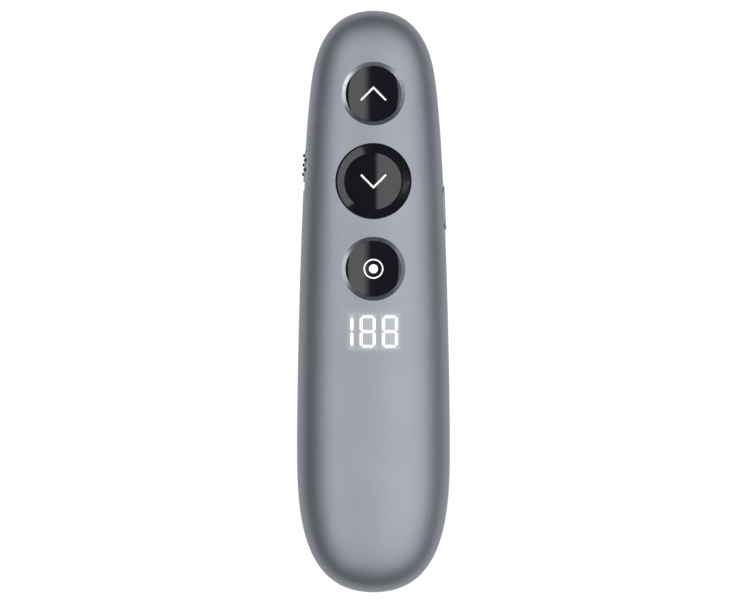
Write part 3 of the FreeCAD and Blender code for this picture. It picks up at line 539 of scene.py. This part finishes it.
def refined(node, name, material, crease=CREASE):
    """The node's own surface with its loose triangles joined, shaded smooth between its edges."""
    mesh = frame["nodes"][node].data.copy()
    mesh.name = name
    shape = bmesh.new()
    shape.from_mesh(mesh)
    bmesh.ops.remove_doubles(shape, verts=shape.verts, dist=MERGE_DISTANCE)
    shape.to_mesh(mesh)
    shape.free()
    if "custom_normal" in mesh.attributes:
        mesh.attributes.remove(mesh.attributes["custom_normal"])
    mesh.shade_smooth()
    mesh.set_sharp_from_angle(angle=math.radians(crease))
    mesh.materials.clear()
    mesh.materials.append(material)
    piece = placed(name, mesh)
    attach(piece, body_of(node))
    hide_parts(node)
    return piece


def dress(node, material):
    """A node whose shape is right keeps it and gets its finish."""
    thing = frame["nodes"][node]
    if not thing.material_slots:
        thing.data.materials.append(material)
    for slot in thing.material_slots:
        slot.material = material


def measured(mesh, nodes):
    """For each node, every face's distance in plan from that node's middle. Then how far each
    face's normal stands up, from 0 level to 1 upright."""
    centres, normals = (np.empty(len(mesh.polygons) * 3) for _ in range(2))
    mesh.polygons.foreach_get("center", centres)
    mesh.polygons.foreach_get("normal", normals)
    plan = centres.reshape(-1, 3)[:, :2]
    distances = [np.hypot(*(plan - np.array(middle_of(node))).T) for node in nodes]
    return distances, normals.reshape(-1, 3)[:, 2]


def lay(mesh, material, faces):
    """The marked faces get a second finish."""
    mesh.materials.append(material)
    mesh.polygons.foreach_set("material_index", faces.astype(np.int32))


def lay_bevels(mesh, material):
    """Faces within a bevel's breadth of a small cap's hole, whose normal leans well off upright
    and well off level, get the bevel's lighter finish with its painted highlight."""
    distances, upright = measured(mesh, ("previous_button", "pointer_button"))
    low = HOLE_RADIUS - BEVEL_SLACK[0]
    high = HOLE_RADIUS + BEVEL_WIDTH + BEVEL_SLACK[1]
    near = [(low < away) & (away < high) for away in distances]
    leaning = (BEVEL_UPRIGHT[0] < upright) & (upright < BEVEL_UPRIGHT[1])
    lay(mesh, material, np.any(near, axis=0) & leaning)


def lay_gap_shade(mesh, material):
    """Faces of the large cap outside its sloping ring get the dull black of the painted gap shade.
    """
    (away,), upright = measured(mesh, ("next_button",))
    lay(mesh, material, (away > RING_RADIUS) & (away < CAP_RADIUS) & (upright > RIM_UPRIGHT))


def grid_faces(rows, columns, closed):
    """Quads between neighbouring rows and columns. If closed, the last column is joined to the
    first."""
    last = columns if closed else columns - 1
    i, j = np.meshgrid(np.arange(rows - 1), np.arange(last), indexing="ij")
    k = (j + 1) % columns
    quads = np.stack([i * columns + j, (i + 1) * columns + j, (i + 1) * columns + k,
                      i * columns + k], axis=-1)
    return quads.reshape(-1, 4)


def sign_piece(name, node, x, y, material, signs, closed=False):
    """A printed sign: the grid (x, y) dropped on to the cap's top and given the ink's thickness."""
    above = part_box(node)[1].z + DROP_HEIGHT
    points = np.stack([x, y, np.full_like(x, above)], axis=-1).reshape(-1, 3)
    faces = grid_faces(*x.shape, closed)
    corner = points[faces[0]]
    if np.cross(corner[1] - corner[0], corner[2] - corner[0])[2] < 0:
        faces = faces[:, ::-1]
    mesh = bpy.data.meshes.new(name)
    mesh.from_pydata(points.tolist(), [], faces.tolist())
    mesh.materials.append(material)
    piece = placed(name, mesh)
    drop = piece.modifiers.new("drop", "SHRINKWRAP")
    drop.target = frame["nodes"][node]
    drop.wrap_method = "PROJECT"
    drop.use_project_z = True
    drop.use_negative_direction = True
    drop.use_positive_direction = False
    drop.offset = signs.lift
    thick = piece.modifiers.new("thick", "SOLIDIFY")
    thick.thickness = signs.ink_depth
    thick.offset = -1
    bpy.context.view_layer.update()
    graph = bpy.context.evaluated_depsgraph_get()
    finished = bpy.data.meshes.new_from_object(piece.evaluated_get(graph))
    piece.modifiers.clear()
    piece.data = finished
    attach(piece, body_of(node))
    return piece


def chevron(signs, centre, way):
    """Middle line x = half * t, y = way * rise * (1/2 - |t|), with t from -1 to 1. Across the line
    each point moves by v * stroke / 2 along the arm's normal, at the apex along the mitre."""
    arm = np.linspace(ARM_START, 1, ARM_POINTS)
    t = np.concatenate([-arm[::-1], [0.0], arm])[:, None]
    v = np.linspace(-1, 1, LINE_POINTS)[None, :]
    reach = math.hypot(signs.chevron_half, signs.chevron_rise)
    lean, tall = signs.chevron_rise / reach, signs.chevron_half / reach
    normal_x = np.sign(t) * lean
    normal_y = np.where(t == 0, 1 / tall, tall)
    x = signs.chevron_half * t + v * signs.stroke / 2 * normal_x
    y = signs.chevron_rise * (0.5 - np.abs(t)) + v * signs.stroke / 2 * normal_y
    return centre[0] + x, centre[1] + way * y


def annulus(inner, outer, centre):
    """x = r cos a, y = r sin a, with r from the inner to the outer radius."""
    r = np.linspace(inner, outer, LINE_POINTS)[:, None]
    a = np.linspace(0, 2 * math.pi, RING_POINTS, endpoint=False)[None, :]
    return centre[0] + r * np.cos(a), centre[1] + r * np.sin(a)


# Stage

def add_softbox(name, across, along, height, share, radiance):
    """A level rectangular lamp that fills the given angles as seen from the object. Its power is
    the radiance times pi times its area."""
    lamp = bpy.data.lights.new(name, "AREA")
    lamp.shape = "RECTANGLE"
    lamp.size = (across[1] - across[0]) * height
    lamp.size_y = (along[1] - along[0]) * height
    lamp.energy = radiance * share * math.pi * lamp.size * lamp.size_y
    soften_edges(lamp)
    thing = placed(name, lamp)
    thing.location = (sum(across) / 2 * height, sum(along) / 2 * height, SEAM + height)
    thing.visible_camera = False
    return thing


def soften_edges(lamp):
    """Light of a softbox's cloth: full in the middle, falling off smoothly to its long edges."""
    tree = cleared(lamp)
    place = add(tree, "ShaderNodeNewGeometry").outputs["Parametric"]
    across = add(tree, "ShaderNodeSeparateXYZ", {0: place}).outputs[0]
    off_middle = add(tree, "ShaderNodeMath", {0: across, 1: 0.5}, operation="SUBTRACT")
    edge = add(tree, "ShaderNodeMath", {0: off_middle.outputs[0]}, operation="ABSOLUTE")
    fall = add(tree, "ShaderNodeMapRange", {"Value": edge.outputs[0], "From Min": SOFTBOX_EDGE,
                                            "From Max": SOFTBOX_FULL},
               interpolation_type="SMOOTHSTEP")
    glow = add(tree, "ShaderNodeEmission", {"Strength": fall.outputs[0]})
    add(tree, "ShaderNodeOutputLight", {"Surface": glow.outputs[0]})


def spare_caps(lamp):
    """The lamp lights everything but the polished caps, in which it would show."""
    caps = bpy.data.collections.new("caps_without_fill")
    for index, name in enumerate(BUTTONS):
        caps.objects.link(bpy.data.objects[f"{name}_cap"])
        caps.collection_objects[index].light_linking.link_state = "EXCLUDE"
    lamp.light_linking.receiver_collection = caps


def seen_by_eye(tree):
    """One for rays from the camera, off polished faces and through clear ones, else nought."""
    path = add(tree, "ShaderNodeLightPath")
    total = path.outputs["Is Camera Ray"]
    for ray in ("Is Glossy Ray", "Is Transmission Ray"):
        total = add(tree, "ShaderNodeMath", {0: total, 1: path.outputs[ray]},
                    operation="MAXIMUM").outputs[0]
    return total


def add_world(surround):
    """A plain grey surround that lights the object, white behind it for the camera."""
    world = bpy.data.worlds.new("studio")
    bpy.context.scene.world = world
    tree = cleared(world)
    seen = add(tree, "ShaderNodeLightPath").outputs["Is Camera Ray"]
    level = add(tree, "ShaderNodeMapRange", {"Value": seen, "To Min": surround, "To Max": 1.0})
    tint = add(tree, "ShaderNodeMix", {"Factor": seen, 6: opaque(SURROUND_TINT),
                                       7: opaque("#ffffff")}, data_type="RGBA")
    sky = add(tree, "ShaderNodeBackground", {"Color": tint.outputs[2],
                                             "Strength": level.outputs[0]})
    add(tree, "ShaderNodeOutputWorld", {"Surface": sky.outputs[0]})


def add_floor():
    """A wide white sheet that stays white to the eye and keeps part of the object's shadow.
    From below it is clear, so that the underside can be looked at."""
    mesh = bpy.data.meshes.new("floor")
    corners = [(x * SHEET_REACH, y * SHEET_REACH, SHEET_LEVEL)
               for x, y in ((-1, -1), (1, -1), (1, 1), (-1, 1))]
    mesh.from_pydata(corners, [], [(0, 1, 2, 3)])
    floor = placed("floor", mesh)
    material = bpy.data.materials.new("white_sheet")
    tree = cleared(material)
    matt = add(tree, "ShaderNodeBsdfDiffuse", {"Color": opaque("#f2f2f2")})
    glow = add(tree, "ShaderNodeEmission", {"Color": opaque("#ffffff"), "Strength": SHEET_GLOW})
    share = add(tree, "ShaderNodeMath", {0: seen_by_eye(tree), 1: SHEET_SHARE},
                operation="MULTIPLY")
    mixed = add(tree, "ShaderNodeMixShader", {0: share.outputs[0], 1: matt.outputs[0],
                                              2: glow.outputs[0]})
    clear = add(tree, "ShaderNodeBsdfTransparent")
    below = add(tree, "ShaderNodeNewGeometry").outputs["Backfacing"]
    sheet = add(tree, "ShaderNodeMixShader", {0: below, 1: mixed.outputs[0], 2: clear.outputs[0]})
    add(tree, "ShaderNodeOutputMaterial", {"Surface": sheet.outputs[0]})
    mesh.materials.append(material)


def add_camera(distance):
    """Looks straight down. The long lens frames the object as the photograph does: focal length =
    sensor * distance / breadth of the view."""
    lens = bpy.data.cameras.new("overhead")
    lens.sensor_fit = "HORIZONTAL"
    lens.sensor_width = SENSOR_MM
    lens.lens = SENSOR_MM * distance / (PHOTO_WIDTH * PIXEL)
    camera = placed("overhead", lens)
    camera.location = ((PHOTO_WIDTH / 2 - PHOTO_CENTRE[0]) * PIXEL,
                       (PHOTO_CENTRE[1] - PHOTO_HEIGHT / 2) * PIXEL, SEAM + distance)
    bpy.context.scene.camera = camera


# Operators

class CLICKER_OT_casing(bpy.types.Operator):
    """Casing halves in satin lacquer, with a glow painted into it round the digits"""
    bl_idname = "clicker.casing"
    bl_label = "Casing"

    def execute(self, context):
        look = context.scene.clicker_finish
        upper = refined("upper_shell", "upper_casing", lacquer(look))
        # The bevels get a lighter copy of the lacquer: a painted highlight on top of real
        # reflections
        lay_bevels(upper.data, bevel_with_painted_highlight())
        refined("lower_shell", "lower_casing", moulded_abs(look))
        return {"FINISHED"}


class CLICKER_OT_caps(bpy.types.Operator):
    """Three polished black caps"""
    bl_idname = "clicker.caps"
    bl_label = "Caps"

    def execute(self, context):
        black = gloss_black(context.scene.clicker_finish)
        for name in BUTTONS:
            refined(f"{name}_button", f"{name}_cap", black, crease=CAP_CREASE)
        # Painted shade: the large cap's outer rim is dulled black to stand for the gap's shadow
        lay_gap_shade(bpy.data.objects["next_cap"].data, painted_gap_shade())
        return {"FINISHED"}


class CLICKER_OT_signs(bpy.types.Operator):
    """Printed chevrons and the pointer sign"""
    bl_idname = "clicker.signs"
    bl_label = "Signs"

    def execute(self, context):
        signs = context.scene.clicker_signs
        ink = printed_ink(context.scene.clicker_finish)
        for name, way in (("previous", 1), ("next", -1)):
            node = f"{name}_button"
            x, y = chevron(signs, middle_of(node), way)
            sign_piece(f"{name}_chevron", node, x, y, ink, signs)
        for name, inner, outer in (("ring", signs.ring - signs.ring_stroke, signs.ring),
                                   ("dot", signs.dot * DOT_HOLE, signs.dot)):
            x, y = annulus(inner, outer, middle_of("pointer_button"))
            sign_piece(f"pointer_{name}", "pointer_button", x, y, ink, signs, closed=True)
        return {"FINISHED"}


class CLICKER_OT_flanks(bpy.types.Operator):
    """Slide switch knob and push key"""
    bl_idname = "clicker.flanks"
    bl_label = "Flank controls"

    def execute(self, context):
        look = context.scene.clicker_finish
        refined("power_slider", "slide_knob", slider_skin(look))
        refined("side_key", "push_key", satin_key(look))
        return {"FINISHED"}


class CLICKER_OT_display(bpy.types.Operator):
    """Lit light guide and laser window"""
    bl_idname = "clicker.display"
    bl_label = "Display and window"

    def execute(self, context):
        refined("display_light_guide", "lit_segments", lit_guide(context.scene.clicker_finish))
        refined("laser_window", "nose_window", window_glass())
        return {"FINISHED"}


class CLICKER_OT_inner(bpy.types.Operator):
    """Finishes of the pieces inside the casing"""
    bl_idname = "clicker.inner"
    bl_label = "Inner pieces"

    def execute(self, context):
        made = {}
        for slot, (name, light, deep, grain, roughness, metallic) in INNER_FINISHES.items():
            made[slot] = grained(name, linear(light), linear(deep), grain * MM, roughness,
                                 metallic=metallic)[0]
        for node in frame["nodes"]:
            if slot_of(node) in made:
                dress(node, made[slot_of(node)])
        return {"FINISHED"}


class CLICKER_OT_stage(bpy.types.Operator):
    """White floor, plain surround, softboxes and overhead camera"""
    bl_idname = "clicker.stage"
    bl_label = "Stage"

    def execute(self, context):
        lights = context.scene.clicker_stage
        context.scene.view_settings.view_transform = "Standard"
        add_floor()
        add_world(lights.surround)
        for softbox in SOFTBOXES:
            lamp = add_softbox(*softbox, lights.softbox)
            if lamp.name == "gap_fill":
                spare_caps(lamp)
        add_camera(lights.distance)
        return {"FINISHED"}


class CLICKER_PT_panel(bpy.types.Panel):
    """Lists the clicker's pieces in the order in which they are made"""
    bl_idname = "CLICKER_PT_panel"
    bl_label = "Presentation clicker"
    bl_space_type = "VIEW_3D"
    bl_region_type = "UI"
    bl_category = "Clicker"

    def draw(self, context):
        for operator in OPERATORS:
            self.layout.operator(operator.bl_idname)


OPERATORS = (CLICKER_OT_casing, CLICKER_OT_caps, CLICKER_OT_signs, CLICKER_OT_flanks,
             CLICKER_OT_display, CLICKER_OT_inner, CLICKER_OT_stage)
GROUPS = {"clicker_finish": ClickerFinish, "clicker_signs": ClickerSigns,
          "clicker_stage": ClickerStage}


def register():
    """Groups first, because the operators read them."""
    for group in GROUPS.values():
        bpy.utils.register_class(group)
    for name, group in GROUPS.items():
        setattr(bpy.types.Scene, name, bpy.props.PointerProperty(type=group))
    for operator in OPERATORS:
        bpy.utils.register_class(operator)
    bpy.utils.register_class(CLICKER_PT_panel)


def unregister():
    """The reverse of register."""
    bpy.utils.unregister_class(CLICKER_PT_panel)
    for operator in reversed(OPERATORS):
        bpy.utils.unregister_class(operator)
    for name in GROUPS:
        delattr(bpy.types.Scene, name)
    for group in GROUPS.values():
        bpy.utils.unregister_class(group)


def main():
    """Registers the classes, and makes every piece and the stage."""
    register()
    bpy.ops.clicker.casing()
    bpy.ops.clicker.caps()
    bpy.ops.clicker.signs()
    bpy.ops.clicker.flanks()
    bpy.ops.clicker.display()
    bpy.ops.clicker.inner()
    bpy.ops.clicker.stage()


if __name__ == "__main__":
    main()
